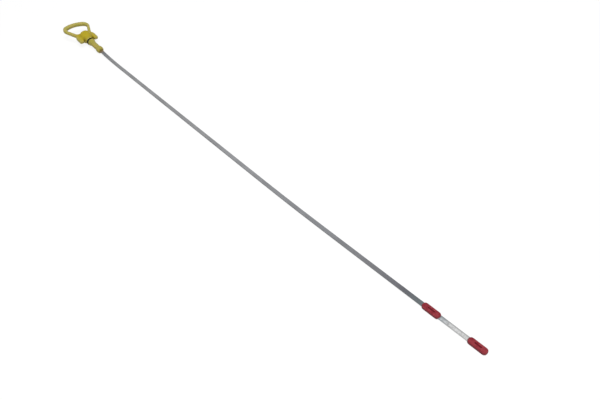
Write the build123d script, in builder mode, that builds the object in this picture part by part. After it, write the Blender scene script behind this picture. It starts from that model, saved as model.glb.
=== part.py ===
from build123d import *
from math import atan2, cos, radians, sin, tan
import os

# Engine oil dipstick, lying on a bench as it comes to rest. Millimetres, +Z up.
# The handle lies along X with the strip's tip towards +X. The level markers and the stem's
# collar touch the bench, and the bent strip lifts the handle towards its finger loop.

# Spring steel strip
strip_width = 4.3
strip_thickness = 1.0
strip_edge_round = 0.2
strip_reach = 573.5          # stem end to tip marker end, along the strip
strip_embed = 20.0           # held inside the stem
anchor_hole_diameter = 1.8   # the moulded plastic locks through these holes

# How the strip lies, in degrees: bent up to the handle, a little askew in it, and cambered
handle_rise = 7.0
handle_roll = 4.2            # the handle is turned on the strip, its -Y side up
strip_skew = 1.3
camber = 1.4
camber_radius = 3270.0
camber_start = 317.0         # stem end to the start of the camber

# Level markers
marker_length = 17.2
marker_width = 6.2
marker_thickness = 3.0
marker_corner = 2.7
marker_edge_round = 0.8
marker_tip_cover = 2.0       # plastic beyond the strip's end
measuring_length = 26.5      # bare strip between the two markers
recess_length = 6.5
recess_width = 1.3
recess_depth = 0.35

# Stem, from its end towards the hood: nose, collar, waist, flare, land, seal groove, flange
nose_radius = 2.8
nose_length = 2.4
nose_round = 0.8
collar_radius = 4.35
collar_length = 3.4
collar_slope = 1.4
waist_radius = 3.5
waist_length = 10.8
flare_length = 4.2
land_radius = 4.7
land_length = 1.5
seal_section = 2.4
seal_outer_radius = 5.15
seal_side_clearance = 0.05
flange_radius = 3.6
flange_length = 1.6

# Hood: a bell-shaped boss with a domed end, between two wings beside the tube's mouth
boss_radius = 7.9            # at its widest ring
boss_length = 10.8           # flange to the widest ring
dome_length = 4.5            # widest ring to the end of the dome
wing_setback = 1.7           # wing ends behind the seal groove
wing_half_width = 12.3       # across the wing ends
hood_half_width = 12.5       # across the hood's shoulders, before they are rounded
hood_thickness = 4.2
hood_length = 17.0
wing_end_width = 5.7
hood_bridge = 11.9           # solid length above the slot between the wings
hood_shoulder_round = 8.5
wing_end_round = 1.5
slot_half_width = 6.9        # at the slot's closed end
slot_corner_round = 1.5
hood_edge_round = 1.2

# Finger loop
loop_thickness = 4.4
loop_edge_round = 1.4
loop_root_half_width = 7.4
loop_corner_half_width = 19.7
loop_side_length = 28.8      # root to the outer corner, along the handle
loop_crown = 6.4             # outer corner to the top of the far bar
loop_corner_round = 8.8
loop_root_round = 5.0
loop_overlap = 9.9           # how far the loop's root runs into the hood
loop_root_bar = 4.3          # side bar at the hood, across the handle
loop_corner_bar = 3.7        # side bar at the opening's corner, across the handle
loop_crown_bar = 5.0
opening_inset = 3.5          # outer corner to the opening's corner, along the handle
opening_corner_round = 4.2
opening_root_round = 2.5

# Places along the handle, from the stem's end
collar_start = nose_length
collar_end = collar_start + collar_length
waist_start = collar_end + collar_slope
flare_start = waist_start + waist_length
land_start = flare_start + flare_length
groove_start = land_start + land_length
groove_width = seal_section + 2 * seal_side_clearance
groove_radius = seal_outer_radius - seal_section
flange_start = groove_start + groove_width
boss_start = flange_start + flange_length
boss_middle = boss_start + boss_length
hood_start = flange_start + wing_setback
hood_end = hood_start + hood_length
loop_root = hood_end - loop_overlap
loop_corner = loop_root + loop_side_length
loop_end = loop_corner + loop_crown

# The stem's collar touches the bench, so its radius sets the height of the stem's end
rise = radians(handle_rise)
nose_slope = atan2(collar_radius - nose_radius, nose_length)
round_centre = nose_length + nose_round * tan(nose_slope / 2)
collar_low = (collar_radius - nose_round) * cos(rise) + nose_round
stem_end_height = collar_low - round_centre * sin(rise)

# The strip's runs; the origin is midway between the loop's end and the tip
strip_height = marker_thickness / 2
bend_radius = (stem_end_height - strip_height) / (1 - cos(rise))
bend_run = bend_radius * sin(rise)
flat_run = camber_start - bend_radius * rise
tip_run = strip_reach - camber_start - camber_radius * radians(camber)
skew = radians(strip_skew)
tip_turn = radians(camber) - skew
camber_run = camber_radius * (sin(tip_turn) + sin(skew))
tip_reach = (bend_run + flat_run) * cos(skew) + camber_run + tip_run * cos(tip_turn)
roll = radians(handle_roll)
loop_flat = (loop_thickness / 2 - loop_edge_round) * cos(roll)
loop_reach = (loop_end - loop_edge_round) * cos(rise) + loop_edge_round + loop_flat * sin(rise)
stem_end_x = (loop_reach - tip_reach) / 2

handle_plane = Plane(
    origin=(stem_end_x, 0, stem_end_height),
    x_dir=(-cos(rise), 0, sin(rise)),
    z_dir=(sin(rise) * cos(roll), sin(roll), cos(rise) * cos(roll)),
)
handle_axis = Axis(handle_plane.origin, handle_plane.x_dir)
strip_along = Vector(cos(skew), -sin(skew), 0)
strip_across = Vector(sin(skew), cos(skew), 0)
strip_side = Plane(origin=(stem_end_x, 0, 0), x_dir=strip_along, z_dir=-strip_across)
strip_plan = Plane(origin=(stem_end_x, 0, strip_height), x_dir=strip_along, z_dir=(0, 0, 1))

# Blade: one rolled strip, swept along its bent end and then along its flat run
flat_middle = bend_run + flat_run / 2
with BuildPart() as blade:
    with BuildLine(strip_side) as handle_run:
        held_end = (-strip_embed * cos(rise), stem_end_height + strip_embed * sin(rise))
        held = Line(held_end, (0, stem_end_height))
        bend = JernArc(held @ 1, held % 1, radius=bend_radius, arc_size=handle_rise)
        Line(bend @ 1, (flat_middle, strip_height))
    held_along = handle_run.line % 0
    with BuildSketch(Plane(handle_run.line @ 0, x_dir=strip_across, z_dir=held_along)):
        RectangleRounded(strip_width, strip_thickness, strip_edge_round)
    sweep(path=handle_run.line)
    with BuildLine(strip_plan) as tip_line:
        flat = Line((flat_middle, 0), (bend_run + flat_run, 0))
        cambered = JernArc(flat @ 1, flat % 1, radius=camber_radius, arc_size=camber)
        Line(cambered @ 1, cambered @ 1 + (tip_run - marker_tip_cover) * (cambered % 1))
    with BuildSketch(Plane(tip_line.line @ 0, x_dir=strip_across, z_dir=tip_line.line % 0)):
        RectangleRounded(strip_width, strip_thickness, strip_edge_round)
    sweep(path=tip_line.line)
    tip_plane = Plane(tip_line.line @ 1, x_dir=tip_line.line % 1, z_dir=(0, 0, 1))
    min_marker_at = marker_tip_cover - marker_length / 2
    max_marker_at = min_marker_at - marker_length - measuring_length
    with BuildSketch(tip_plane):
        with Locations((max_marker_at, 0), (min_marker_at, 0)):
            Circle(anchor_hole_diameter / 2)
    extrude(amount=strip_thickness, both=True, mode=Mode.SUBTRACT)
    held_normal = held_along.cross(strip_across)
    with BuildSketch(Plane(handle_run.line @ 0, x_dir=held_along, z_dir=held_normal)):
        with Locations((strip_width, 0)):
            Circle(anchor_hole_diameter / 2)
    extrude(amount=strip_thickness, both=True, mode=Mode.SUBTRACT)
blade.part.label = "blade"

# Stem and boss of the handle, turned about the handle's axis
with BuildPart() as stem:
    with BuildSketch(handle_plane):
        with BuildLine():
            Polyline(
                (0, 0),
                (0, nose_radius),
                (collar_start, collar_radius),
                (collar_end, collar_radius),
                (waist_start, waist_radius),
                (flare_start, waist_radius),
            )
            TangentArc((flare_start, waist_radius), (land_start, land_radius), tangent=(1, 0))
            Polyline(
                (land_start, land_radius),
                (groove_start, land_radius),
                (groove_start, groove_radius),
                (flange_start, groove_radius),
                (flange_start, flange_radius),
                (boss_start, flange_radius),
            )
            TangentArc((boss_middle, boss_radius), (boss_start, flange_radius), tangent=(-1, 0))
            EllipticalCenterArc((boss_middle, 0), dome_length, boss_radius, arc_size=90)
            Line((boss_middle + dome_length, 0), (0, 0))
        make_face()
    revolve(axis=handle_axis)
    collar_rims = stem.edges().filter_by(GeomType.CIRCLE).filter_by(
        lambda edge: abs(edge.radius - collar_radius) < 0.01
    )
    fillet(collar_rims, nose_round)

# Hood: a bridge with two wings, flat on both sides, with rounded edges
slot_end = hood_end - hood_bridge
wing_inner_half_width = wing_half_width - wing_end_width
with BuildPart() as hood:
    with BuildSketch(handle_plane) as hood_outline:
        with BuildLine():
            Polyline(
                (hood_start, wing_inner_half_width),
                (hood_start, wing_half_width),
                (hood_end, hood_half_width),
                (hood_end, -hood_half_width),
                (hood_start, -wing_half_width),
                (hood_start, -wing_inner_half_width),
                (slot_end, -slot_half_width),
                (slot_end, slot_half_width),
                close=True,
            )
        make_face()
        fillet(hood_outline.vertices().group_by(Axis.X)[1], slot_corner_round)
        fillet(hood_outline.vertices().group_by(Axis.X)[0], wing_end_round)
        fillet(hood_outline.vertices().group_by(Axis.X)[-1], hood_shoulder_round)
    extrude(amount=hood_thickness / 2, both=True)
    faces = hood.faces().filter_by(Axis(handle_plane.origin, handle_plane.z_dir))
    fillet(faces.edges(), hood_edge_round)


def arched_triangle(root, root_half_width, corner, corner_half_width, end, rounds):
    """A flat triangle that widens from its root to a far side arched out to its end."""
    with BuildSketch() as shape:
        with BuildLine():
            left = Line((root, -root_half_width), (corner, -corner_half_width))
            far = ThreePointArc(left @ 1, (end, 0), (corner, corner_half_width))
            right = Line(far @ 1, (root, root_half_width))
            Line(right @ 1, left @ 0)
        make_face()
        for place, size in zip((0, -1), rounds):
            fillet(shape.vertices().group_by(Axis.X)[place], size)
    return shape.sketch


# Finger loop: a rounded bar that widens to its far side
side_slope = (loop_corner_half_width - loop_root_half_width) / loop_side_length
opening_corner = loop_corner - opening_inset
opening_end = loop_end - loop_crown_bar
hood_end_half_width = loop_root_half_width + side_slope * loop_overlap
inset_half_width = loop_corner_half_width - side_slope * opening_inset
with BuildPart() as loop:
    outer = arched_triangle(
        loop_root,
        loop_root_half_width,
        loop_corner,
        loop_corner_half_width,
        loop_end,
        (loop_root_round, loop_corner_round),
    )
    opening = arched_triangle(
        hood_end,
        hood_end_half_width - loop_root_bar,
        opening_corner,
        inset_half_width - loop_corner_bar,
        opening_end,
        (opening_root_round, opening_corner_round),
    )
    with BuildSketch(handle_plane):
        add(outer)
        add(opening, mode=Mode.SUBTRACT)
    extrude(amount=loop_thickness / 2, both=True)
    faces = loop.faces().filter_by(Axis(handle_plane.origin, handle_plane.z_dir))
    fillet(faces.edges(), loop_edge_round)

# Handle: stem, hood and loop are one moulding round the strip's end
with BuildPart() as handle:
    add(stem.part)
    add(hood.part)
    add(loop.part)
    add(blade.part, mode=Mode.SUBTRACT)
handle.part.label = "handle"

# Seal ring: a rubber ring in the groove between the flange and the stem's land
with BuildPart() as seal_ring:
    with BuildSketch(handle_plane):
        with Locations(((groove_start + flange_start) / 2, groove_radius + seal_section / 2)):
            Circle(seal_section / 2)
    revolve(axis=handle_axis)
seal_ring.part.label = "seal_ring"


def level_marker(centre):
    """A red sleeve moulded round the strip, with a shallow oblong recess in each flat face."""
    with BuildPart() as sleeve:
        with BuildSketch(tip_plane):
            with Locations((centre, 0)):
                RectangleRounded(marker_length, marker_width, marker_corner)
        extrude(amount=marker_thickness / 2, both=True)
        fillet(sleeve.faces().filter_by(Axis.Z).edges(), marker_edge_round)
        for side in (1, -1):
            with BuildSketch(tip_plane.offset(side * marker_thickness / 2)):
                with Locations((centre, 0)):
                    SlotOverall(recess_length, recess_width)
            extrude(amount=-side * recess_depth, mode=Mode.SUBTRACT)
        add(blade.part, mode=Mode.SUBTRACT)
    return sleeve


max_marker = level_marker(max_marker_at)
max_marker.part.label = "max_marker"
min_marker = level_marker(min_marker_at)
min_marker.part.label = "min_marker"

os.makedirs("parts", exist_ok=True)
export_step(handle.part, "parts/handle.step")
export_step(seal_ring.part, "parts/seal_ring.step")
export_step(blade.part, "parts/blade.step")
export_step(max_marker.part, "parts/max_marker.step")
export_step(min_marker.part, "parts/min_marker.step")
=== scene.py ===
import math

import bmesh
import bpy
from mathutils import Matrix, Vector


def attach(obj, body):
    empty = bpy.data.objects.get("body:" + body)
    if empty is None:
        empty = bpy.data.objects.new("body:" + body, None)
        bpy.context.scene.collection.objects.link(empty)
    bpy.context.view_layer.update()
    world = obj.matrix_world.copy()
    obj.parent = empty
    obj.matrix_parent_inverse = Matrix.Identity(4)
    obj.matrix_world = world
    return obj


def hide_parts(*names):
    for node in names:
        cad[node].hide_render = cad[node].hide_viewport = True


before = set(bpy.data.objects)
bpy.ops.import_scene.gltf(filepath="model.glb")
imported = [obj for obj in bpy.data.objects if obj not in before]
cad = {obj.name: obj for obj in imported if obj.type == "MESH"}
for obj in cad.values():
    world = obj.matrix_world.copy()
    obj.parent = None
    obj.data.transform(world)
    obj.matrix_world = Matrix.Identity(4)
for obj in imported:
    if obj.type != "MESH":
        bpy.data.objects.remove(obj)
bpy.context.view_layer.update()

# Strip: one long ribbon of rolled spring steel that dips into the sump. It is bare and grey,
# darker towards the markers, with its upright edges painted darker than its flat faces as
# painted shade. It is cross-hatched bright where the level is read, so that oil shows on it. A
# brown film of dried oil lies where it leaves the handle.
STRIP_START = -0.2518
STRIP_LENGTH = 0.5733
STRIP_HALF_WIDTH = 0.00215
STRIP_SKEW = math.radians(1.3)
TIP_LINE = -0.0078  # the tip's run lies beside the handle's axis
READING_START = 0.2692  # the bright length starts and ends under the markers
READING_END = 0.3130
READING_BLUR = 0.001
FILM_THINS = STRIP_START + 0.0015
FILM_ENDS = STRIP_START + 0.0050
FILM_COVER = 0.9
FILM_BROWN = (0.195, 0.140, 0.080, 1.0)
EDGE_TO_FACE = (0.55, 0.95)  # how flat a surface lies
STREAK_SIZE = (0.038, 0.00019, 0.00019)
STREAK_SHARE = 0.4
BLOTCH_SCALE = 70.0
BLOTCH_SHARE = 0.6
BLOTCH_RANGE = (0.30, 0.70)
DARK_BLOTCH = 0.86
LIGHT_BLOTCH = 1.1
HATCH_TURNS = 4200.0
HATCH_SHARE = 0.35
HATCH_HEIGHT = 0.6
SPECKLE_SCALE = 900.0
SPECKLE_SHARE = 0.6
PATCH_SCALE = 330.0
PATCH_SHARE = 0.7
SCOUR_RANGE = (0.52, 1.10)
RIGHT_WEAR = (0.15, 0.9)  # seen from the tip, in half widths from the middle
LEFT_WEAR = (0.45, 1.0)
LEFT_WEAR_SHARE = 0.7
SCRATCH_DEPTH = 0.00004
# Grey of the flat faces along the strip, darker towards the markers.
FACE_TONES = (
    (0.00, (0.180, 0.185, 0.200)),
    (0.04, (0.275, 0.280, 0.290)),
    (0.30, (0.305, 0.308, 0.317)),
    (0.52, (0.305, 0.310, 0.324)),
    (0.70, (0.278, 0.284, 0.300)),
    (0.80, (0.224, 0.226, 0.242)),
    (0.86, (0.170, 0.172, 0.192)),
    (0.89, (0.152, 0.177, 0.187)),
)
# Painted shade: the upright edges are painted darker than the flat faces.
EDGE_PAINTED_SHADE = (
    (0.00, (0.085, 0.087, 0.095)),
    (0.50, (0.105, 0.107, 0.115)),
    (0.75, (0.150, 0.155, 0.165)),
    (0.90, (0.165, 0.175, 0.185)),
)
DULL_STEEL = (
    (0.00, (0.230, 0.285, 0.325)),
    (0.40, (0.345, 0.350, 0.352)),
    (1.00, (0.460, 0.460, 0.455)),
)
BRIGHT_STEEL = (
    (0.00, (0.540, 0.600, 0.655)),
    (0.40, (0.730, 0.735, 0.740)),
    (1.00, (0.940, 0.940, 0.930)),
)


class Wire:
    """A socket in a node tree. Arithmetic on it adds Math nodes."""

    def __init__(self, tree, socket=None):
        self.tree = tree
        self.socket = socket

    def node(self, kind, settings=None, inputs=None, output=0):
        """Adds a node: its settings first, then the values or links of its sockets."""
        made = self.tree.nodes.new(kind)
        for name, value in (settings or {}).items():
            if name == "stops":
                ramp = made.color_ramp.elements
                while len(ramp) < len(value):
                    ramp.new(1.0)
                for stop, (place, colour) in zip(ramp, value):
                    stop.position = place
                    stop.color = (*colour, 1.0)
            else:
                setattr(made, name, value)
        for name, value in (inputs or {}).items():
            socket = made.inputs[name]
            if isinstance(value, Wire):
                self.tree.links.new(value.socket, socket)
            else:
                socket.default_value = value
        return Wire(self.tree, made.outputs[output] if len(made.outputs) else None)

    def math(self, operation, *values):
        return self.node("ShaderNodeMath", {"operation": operation}, dict(enumerate(values)))

    def __add__(self, other):
        return self.math("ADD", self, other)

    def __sub__(self, other):
        return self.math("SUBTRACT", self, other)

    def __rsub__(self, other):
        return self.math("SUBTRACT", other, self)

    def __mul__(self, other):
        return self.math("MULTIPLY", self, other)

    def __truediv__(self, other):
        return self.math("DIVIDE", self, other)

    def __abs__(self):
        return self.math("ABSOLUTE", self)

    __radd__ = __add__
    __rmul__ = __mul__

    def wave(self):
        return self.math("SINE", self)

    def most(self, other):
        return self.math("MAXIMUM", self, other)

    def step(self, low, high):
        """0 below low, 1 above high, and smooth between."""
        inputs = {"Value": self, "From Min": low, "From Max": high}
        return self.node("ShaderNodeMapRange", {"interpolation_type": "SMOOTHSTEP"}, inputs)

    def mixed(self, first, second):
        """The colour first where this is 0 and second where it is 1."""
        inputs = {"Factor": self, 6: first, 7: second}
        return self.node("ShaderNodeMix", {"data_type": "RGBA"}, inputs, output=2)

    def shaded(self, factor, dark, light):
        """This colour times a grey: dark where factor is 0 and light where it is 1."""
        grey = factor.mixed((dark, dark, dark, 1.0), (light, light, light, 1.0))
        settings = {"data_type": "RGBA", "blend_type": "MULTIPLY"}
        return self.node("ShaderNodeMix", settings, {"Factor": 1.0, 6: self, 7: grey}, output=2)

    def ramp(self, stops):
        """A colour read from stops along this value."""
        return self.node("ShaderNodeValToRGB", {"stops": stops}, {"Fac": self})

    def split(self):
        """The x, y and z of a vector."""
        made = self.node("ShaderNodeSeparateXYZ", inputs={0: self}).socket.node
        return [Wire(self.tree, output) for output in made.outputs]

    def noise(self, scale, detail, roughness):
        """Cloudy noise drawn on this place."""
        inputs = {"Vector": self, "Scale": scale, "Detail": detail, "Roughness": roughness}
        return self.node("ShaderNodeTexNoise", inputs=inputs)

    def bump(self, strength, depth):
        """A surface raised by this height."""
        inputs = {"Height": self, "Strength": strength, "Distance": depth}
        return self.node("ShaderNodeBump", inputs=inputs)


def new_finish(name):
    """A material's empty node tree, and the Object coordinates to draw on it with."""
    material = bpy.data.materials.new(name)
    material.use_nodes = True
    material.node_tree.nodes.clear()
    wire = Wire(material.node_tree)
    return material, wire, wire.node("ShaderNodeTexCoord", output="Object")


def close_finish(wire, values):
    """Feeds a Principled shader and the material's output."""
    shader = wire.node("ShaderNodeBsdfPrincipled", inputs=values)
    wire.node("ShaderNodeOutputMaterial", inputs={"Surface": shader})


def lying_flat(wire):
    """1 on a face that looks straight up or down, and 0 on an upright one."""
    return abs(wire.node("ShaderNodeNewGeometry", output="Normal").split()[2])


steel, wire, place = new_finish("rolled_steel")
along, across = place.split()[:2]
along_strip = wire.node(
    "ShaderNodeMapping",
    {"vector_type": "TEXTURE"},
    {"Vector": place, "Rotation": (0, 0, -STRIP_SKEW), "Scale": STREAK_SIZE},
)
streaks = along_strip.noise(scale=1.0, detail=3.0, roughness=0.6)
blotches = place.noise(BLOTCH_SCALE, detail=4.0, roughness=0.55)
run = (along - STRIP_START) / STRIP_LENGTH
# Painted shade: the strip's upright edges get a darker grey than its flat faces.
on_face = lying_flat(wire).step(*EDGE_TO_FACE)
tone_with_painted_edge_shade = on_face.mixed(run.ramp(EDGE_PAINTED_SHADE), run.ramp(FACE_TONES))

ridges = ((along + across) * HATCH_TURNS).wave() * ((along - across) * HATCH_TURNS).wave()
hatch = ridges * 0.5 + 0.5
speckles = place.noise(SPECKLE_SCALE, detail=3.0, roughness=0.6)
patches = place.noise(PATCH_SCALE, detail=2.0, roughness=0.5)
scour = hatch * HATCH_SHARE + speckles * SPECKLE_SHARE + patches * PATCH_SHARE
to_tip = (along - READING_START) / (READING_END - READING_START)
dull = to_tip.ramp(DULL_STEEL)
scoured = scour.step(*SCOUR_RANGE).mixed(dull, to_tip.ramp(BRIGHT_STEEL))
to_right = (across - TIP_LINE) / STRIP_HALF_WIDTH
worn = to_right.step(*RIGHT_WEAR).most((0 - to_right).step(*LEFT_WEAR) * LEFT_WEAR_SHARE)
reading = along.step(READING_START - READING_BLUR, READING_START + READING_BLUR)
tone = reading.mixed(tone_with_painted_edge_shade, worn.mixed(scoured, dull))

blotched = (streaks * STREAK_SHARE + blotches * BLOTCH_SHARE).step(*BLOTCH_RANGE)
bare_steel = tone.shaded(blotched, DARK_BLOTCH, LIGHT_BLOTCH)
film = 1 - along.step(FILM_THINS, FILM_ENDS)
scratches = streaks * (1 - reading) + hatch * reading * HATCH_HEIGHT
close_finish(
    wire,
    {
        "Base Color": film.mixed(bare_steel, FILM_BROWN),
        "Metallic": 1 - film * FILM_COVER,
        "Roughness": 0.30 + streaks * 0.22 + reading * 0.12,
        "Normal": scratches.bump(0.25, SCRATCH_DEPTH),
    },
)
cad["blade"].data.materials.clear()
cad["blade"].data.materials.append(steel)

# Level markers: two red nylon sleeves moulded round the strip, which grip it through a small
# hole. Each has rounded ends and a shallow oblong recess on both of its flat sides. The recess
# and the upright sides are painted a darker red as painted shade.
MARKER_MIDDLE = 0.0015
RECESS_FLOOR = 0.00118  # from the marker's middle, as is its face
MARKER_FACE = 0.00140
RECESS_HALF_WIDTH = 0.00065
RECESS_EDGE = 0.000975
RIM_TO_FACE = (0.30, 0.97)
MOTTLE_SCALE = 420.0
MOTTLE_RANGE = (0.34, 0.66)
NYLON_GRAIN_SCALE = 3200.0
NYLON_GRAIN_DEPTH = 0.00005
DEEP_RED = (0.172, 0.013, 0.021, 1.0)
PALE_RED = (0.242, 0.034, 0.043, 1.0)
# Painted shade: the upright sides and the recess floor are painted a darker red.
RIM_PAINTED_SHADE = (0.165, 0.018, 0.028, 1.0)
RECESS_PAINTED_SHADE = (0.110, 0.006, 0.012, 1.0)
red, wire, place = new_finish("red_sleeve")
across, up = place.split()[1:]
sunk = 1 - abs(up - MARKER_MIDDLE).step(RECESS_FLOOR, MARKER_FACE)
in_recess = sunk * (1 - abs(across - TIP_LINE).step(RECESS_HALF_WIDTH, RECESS_EDGE))
mottle = place.noise(MOTTLE_SCALE, detail=4.0, roughness=0.6).step(*MOTTLE_RANGE)
grain = place.noise(NYLON_GRAIN_SCALE, detail=2.0, roughness=0.5)
on_face = lying_flat(wire).step(*RIM_TO_FACE)
sleeve_red = on_face.mixed(RIM_PAINTED_SHADE, mottle.mixed(DEEP_RED, PALE_RED))
close_finish(
    wire,
    {
        "Base Color": in_recess.mixed(sleeve_red, RECESS_PAINTED_SHADE),
        "Roughness": 0.42 + grain * 0.18,
        "Specular IOR Level": 0.2,
        "Normal": grain.bump(0.2, NYLON_GRAIN_DEPTH),
    },
)
for name in ("max_marker", "min_marker"):
    cad[name].data.materials.clear()
    cad[name].data.materials.append(red)

# Handle: one yellow moulding round the strip's end, with a finger loop, a domed boss between
# two wings, and a stem that fills the guide tube's mouth. Its parts run into each other in soft
# moulded radii, so the solid is given one skin here and its inner corners are filled. The slot
# beside the boss and the nose's end face are painted brown as painted shade.
RISE = math.radians(7.0)
ROLL = math.radians(4.2)
STEM_END = Vector((-0.251763, 0.0, 0.004002))
PLUG_SIZE = Vector((0.0030, 0.0050, 0.0018))  # closes the nose round the strip
PLUG_SETBACK = 0.0002
WELD = 0.000002
SKIN_GRAIN = 0.00026
SKIN_PASSES = 12
JOIN_PASSES = 60
JOIN_FROM = 0.0290  # from the stem's end towards the loop
JOIN_TO = 0.0520
JOIN_HALF_WIDTH = 0.0125
HOLLOW_DEPTH = 0.0000008
STEM_TOP = (0.0262, 0.0275)  # from here on, where a zone starts and ends to fade
BOSS_START = (0.027, 0.030)
BOSS_END = (0.041, 0.049)
BOSS_SIDE = (0.008, 0.0125)
SLOT_END = (0.0305, 0.0330)
SLOT_INNER_WALL = (0.0036, 0.0050)
SLOT_OUTER_WALL = (0.0066, 0.0074)
NOSE_RIM = (0.0003, 0.0016)
PARTING_LINE = (0.00004, 0.00016)
# Painted shade: how strongly the slot and the nose's end are painted brown.
SLOT_PAINTED_SHADE = 0.35
NOSE_PAINTED_SHADE = 0.5
CLOUD_SCALE = 130.0
CLOUD_RANGE = (0.3, 0.7)
STEM_STREAKS = (70, 520, 520)
STEM_STREAK_RANGE = (0.36, 0.64)
MOULD_GRAIN_SCALE = 2600.0
MOULD_GRAIN_DEPTH = 0.00006
DEEP_GOLD = (0.365, 0.285, 0.011, 1.0)
PALE_GOLD = (0.400, 0.312, 0.018, 1.0)
DEEP_OLIVE = (0.355, 0.320, 0.068, 1.0)
PALE_OLIVE = (0.405, 0.335, 0.086, 1.0)
STEM_OLIVE = (0.305, 0.278, 0.052, 1.0)
STEM_GOLD = (0.395, 0.320, 0.068, 1.0)
PAINTED_SHADE_BROWN = (0.125, 0.082, 0.020, 1.0)
to_loop = Vector((-math.cos(RISE), 0.0, math.sin(RISE)))
to_top = Vector(
    (math.sin(RISE) * math.cos(ROLL), math.sin(ROLL), math.cos(RISE) * math.cos(ROLL))
)
to_side = to_top.cross(to_loop)
handle_turn = Matrix((to_loop, to_side, to_top)).transposed()
handle_place = Matrix.Translation(STEM_END) @ handle_turn.to_4x4()
from_handle = handle_place.inverted()


def new_piece(name, mesh, material, node):
    """Makes an object of a finished bmesh, which stands for a node of the solid model."""
    for face in mesh.faces:
        face.smooth = True
    data = bpy.data.meshes.new(name)
    mesh.to_mesh(data)
    mesh.free()
    data.materials.append(material)
    piece = bpy.data.objects.new(name, data)
    bpy.context.scene.collection.objects.link(piece)
    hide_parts(node)
    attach(piece, "root")


def soften(mesh, verts):
    """Draws each vertex halfway to the middle of its neighbours."""
    bmesh.ops.smooth_vert(
        mesh, verts=verts, factor=0.5, use_axis_x=True, use_axis_y=True, use_axis_z=True
    )


def is_join(vert):
    """True round the boss, where the wings and the loop grow out of it."""
    reach, side, _ = from_handle @ vert.co
    return JOIN_FROM < reach < JOIN_TO and abs(side) < JOIN_HALF_WIDTH


def is_hollow(vert):
    """True where the skin bends inwards, as in the corner between two parts."""
    middle = sum((edge.other_vert(vert).co for edge in vert.link_edges), Vector())
    return (middle / len(vert.link_edges) - vert.co).dot(vert.normal) > HOLLOW_DEPTH


mesh = bmesh.new()
mesh.from_mesh(cad["handle"].data)
bmesh.ops.remove_doubles(mesh, verts=mesh.verts, dist=WELD)
plug_place = handle_place @ Matrix.Translation((PLUG_SIZE.x / 2 + PLUG_SETBACK, 0, 0))
bmesh.ops.create_cube(mesh, size=1.0, matrix=plug_place @ Matrix.Diagonal((*PLUG_SIZE, 1.0)))
blank_mesh = bpy.data.meshes.new("handle_blank")
mesh.to_mesh(blank_mesh)
blank = bpy.data.objects.new("handle_blank", blank_mesh)
bpy.context.scene.collection.objects.link(blank)
one_skin = blank.modifiers.new("one_skin", "REMESH")
one_skin.mode = "VOXEL"
one_skin.voxel_size = SKIN_GRAIN
mesh.clear()
mesh.from_object(blank, bpy.context.evaluated_depsgraph_get())
bpy.data.objects.remove(blank)
for _ in range(SKIN_PASSES):
    soften(mesh, mesh.verts)
joins = [vert for vert in mesh.verts if is_join(vert)]
for _ in range(JOIN_PASSES):
    mesh.normal_update()
    soften(mesh, [vert for vert in joins if is_hollow(vert)])

yellow, wire, place = new_finish("yellow_moulding")
on_handle = wire.node(
    "ShaderNodeMapping",
    {"vector_type": "TEXTURE"},
    {"Vector": place, "Location": STEM_END, "Rotation": handle_turn.to_euler()},
)
reach, side, height = on_handle.split()
off_axis = abs(side)
cloud = place.noise(CLOUD_SCALE, detail=3.0, roughness=0.5).step(*CLOUD_RANGE)
grain = place.noise(MOULD_GRAIN_SCALE, detail=3.0, roughness=0.6)
along_stem = wire.node("ShaderNodeMapping", inputs={"Vector": on_handle, "Scale": STEM_STREAKS})
drawn = along_stem.noise(scale=1.0, detail=2.0, roughness=0.5).step(*STEM_STREAK_RANGE)
on_stem = 1 - reach.step(*STEM_TOP)
off_boss = on_stem.mixed(
    cloud.mixed(DEEP_OLIVE, PALE_OLIVE), drawn.mixed(STEM_OLIVE, STEM_GOLD)
)
# Painted light and shade: one plastic in two tones, the boss a deeper gold and the loop and
# wings a paler olive.
on_boss = reach.step(*BOSS_START) * (1 - reach.step(*BOSS_END)) * (1 - off_axis.step(*BOSS_SIDE))
base_tones = on_boss.mixed(off_boss, cloud.mixed(DEEP_GOLD, PALE_GOLD))
between_walls = off_axis.step(*SLOT_INNER_WALL) * (1 - off_axis.step(*SLOT_OUTER_WALL))
in_slot = between_walls * (1 - reach.step(*SLOT_END)) * (1 - on_stem)
on_nose = 1 - reach.step(*NOSE_RIM)
# Painted shade: the slot between the wings and the boss, and the nose's end face, are painted
# brown.
painted_shade = (in_slot * SLOT_PAINTED_SHADE).most(on_nose * NOSE_PAINTED_SHADE)
parting = 1 - abs(height).step(*PARTING_LINE)
close_finish(
    wire,
    {
        "Base Color": painted_shade.mixed(base_tones, PAINTED_SHADE_BROWN),
        "Roughness": 0.42 + grain * 0.14,
        "Specular IOR Level": 0.2,
        "Normal": (grain * 0.2 + parting).bump(0.2, MOULD_GRAIN_DEPTH),
    },
)
new_piece("yellow_handle", mesh, yellow, "handle")

# Seal ring: a black rubber ring rolled into the stem's groove, which closes the tube's mouth.
# It is moulded in two halves, so a fine flash line goes round its widest part. One side of it
# is painted yellow-brown as a painted highlight.
RING_AT = 0.02495
RING_RADIUS = 0.00395
RING_SECTION = 0.0012
RING_CORNERS = 32
RING_STEPS = 120
FLASH = 0.00006
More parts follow.
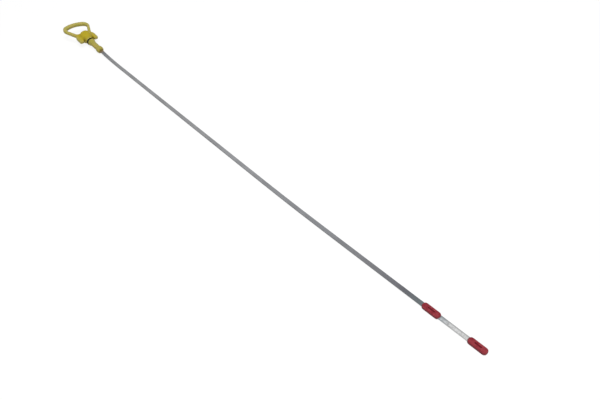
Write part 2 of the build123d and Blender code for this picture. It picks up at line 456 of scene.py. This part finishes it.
# Painted highlight: where the ring's one side is painted yellow-brown, and how its edge wanders.
SHEEN_EDGE = (0.0009, 0.0044)
SHEEN_WANDER = 0.0016
DUST_SCALE = 900.0
DUST_RANGE = (0.35, 0.75)
DUST_DEPTH = 0.00005
DEEP_BLACK = (0.006, 0.006, 0.003, 1.0)
DUSTY_BLACK = (0.018, 0.017, 0.010, 1.0)
SHEEN_BROWN = (0.150, 0.108, 0.012, 1.0)
mesh = bmesh.new()
bmesh.ops.create_circle(mesh, segments=RING_CORNERS, radius=RING_SECTION)
widest = max(mesh.verts, key=lambda vert: vert.co.y)
widest.co.y += FLASH
bmesh.ops.translate(mesh, verts=mesh.verts, vec=(RING_AT, RING_RADIUS, 0))
bmesh.ops.spin(
    mesh,
    geom=mesh.verts[:] + mesh.edges[:],
    axis=(1, 0, 0),
    cent=(0, 0, 0),
    steps=RING_STEPS,
    angle=math.tau,
    use_merge=True,
)
bmesh.ops.remove_doubles(mesh, verts=mesh.verts, dist=WELD)
bmesh.ops.transform(mesh, matrix=handle_place, verts=mesh.verts)
bmesh.ops.recalc_face_normals(mesh, faces=mesh.faces)
black, wire, place = new_finish("black_rubber")
dust = place.noise(DUST_SCALE, detail=4.0, roughness=0.6)
rubber = dust.step(*DUST_RANGE).mixed(DEEP_BLACK, DUSTY_BLACK)
painted_sheen = (place.split()[1] + dust * SHEEN_WANDER).step(*SHEEN_EDGE)
close_finish(
    wire,
    {
        "Base Color": painted_sheen.mixed(rubber, SHEEN_BROWN),
        "Roughness": 0.5 + dust * 0.25,
        "Specular IOR Level": 0.15,
        "Normal": dust.bump(0.2, DUST_DEPTH),
    },
)
new_piece("black_seal", mesh, black, "seal_ring")

# Bench: a wide white sheet under the part, which keeps the part's soft shadow. Far from the
# part it fades into the white of the room, so that no edge of it is seen.
BENCH_HALF_SIZE = 4.0
BENCH_GREY = (0.7, 0.7, 0.7, 1.0)
BENCH_GLOW = 1.06
SHADOW_SHARE = 0.16
SHADOW_FADE = (0.45, 1.3)
WHITE = (1.0, 1.0, 1.0, 1.0)


def is_seen(wire):
    """1 where a ray comes from the camera, or by way of a mirror or glass."""
    by_camera, by_mirror, by_glass = (
        wire.node("ShaderNodeLightPath", output=name)
        for name in ("Is Camera Ray", "Is Glossy Ray", "Is Transmission Ray")
    )
    return by_camera.most(by_mirror).most(by_glass)


paper, wire, place = new_finish("white_bench")
matt = wire.node("ShaderNodeBsdfDiffuse", inputs={"Color": BENCH_GREY})
glow = wire.node("ShaderNodeEmission", inputs={"Color": WHITE, "Strength": BENCH_GLOW})
away = wire.node("ShaderNodeVectorMath", {"operation": "LENGTH"}, {0: place}, output="Value")
white = is_seen(wire) * (1 - SHADOW_SHARE + away.step(*SHADOW_FADE) * SHADOW_SHARE)
sheet = wire.node("ShaderNodeMixShader", inputs={0: white, 1: matt, 2: glow})
wire.node("ShaderNodeOutputMaterial", inputs={"Surface": sheet})
mesh = bmesh.new()
bmesh.ops.create_grid(mesh, x_segments=1, y_segments=1, size=BENCH_HALF_SIZE)
bench_mesh = bpy.data.meshes.new("bench")
mesh.to_mesh(bench_mesh)
mesh.free()
bench_mesh.materials.append(paper)
bench = bpy.data.objects.new("bench", bench_mesh)
bpy.context.scene.collection.objects.link(bench)

# Light: a pale room and two large soft lamps, one overhead and one in front of the tip. The
# steel mirrors the white room and bench, and not the lamps.
ROOM_LIGHT = 0.32
world = bpy.data.worlds.new("pale_room")
bpy.context.scene.world = world
world.use_nodes = True
world.node_tree.nodes.clear()
wire = Wire(world.node_tree)
room_strength = is_seen(wire) * (1 - ROOM_LIGHT) + ROOM_LIGHT
room = wire.node("ShaderNodeBackground", inputs={"Color": WHITE, "Strength": room_strength})
wire.node("ShaderNodeOutputWorld", inputs={"Surface": room})


def soft_lamp(name, spot, aim, size, power):
    """A round area lamp at spot, turned to aim."""
    lamp = bpy.data.lights.new(name, "AREA")
    lamp.shape = "DISK"
    lamp.size = size
    lamp.energy = power
    stand = bpy.data.objects.new(name, lamp)
    stand.location = spot
    stand.rotation_euler = (Vector(aim) - Vector(spot)).to_track_quat("-Z", "Y").to_euler()
    stand.visible_glossy = False
    bpy.context.scene.collection.objects.link(stand)


soft_lamp("overhead", spot=(0.25, -0.1, 1.5), aim=(0, 0, 0), size=0.9, power=19.5)
soft_lamp("front_fill", spot=(1.2, -0.5, 0.8), aim=(-0.1, 0, 0), size=0.8, power=6.0)

# Camera: a wide lens near the tip, looking down along the strip to the handle.
AZIMUTH = math.radians(46.51)
ELEVATION = math.radians(45.368)
CAMERA_SPOT = (0.388247, -0.264325, 0.39305)
FOCAL_LENGTH = 35.0  # mm, as is the sensor's width
SENSOR_WIDTH = 36.0
lens = bpy.data.cameras.new("photo_angle")
lens.sensor_fit = "HORIZONTAL"
lens.sensor_width = SENSOR_WIDTH
lens.lens = FOCAL_LENGTH
camera = bpy.data.objects.new("photo_angle", lens)
camera.location = CAMERA_SPOT
camera.rotation_euler = (math.pi / 2 - ELEVATION, 0.0, AZIMUTH)
bpy.context.scene.collection.objects.link(camera)
bpy.context.scene.camera = camera
bpy.context.scene.view_settings.view_transform = "Standard"
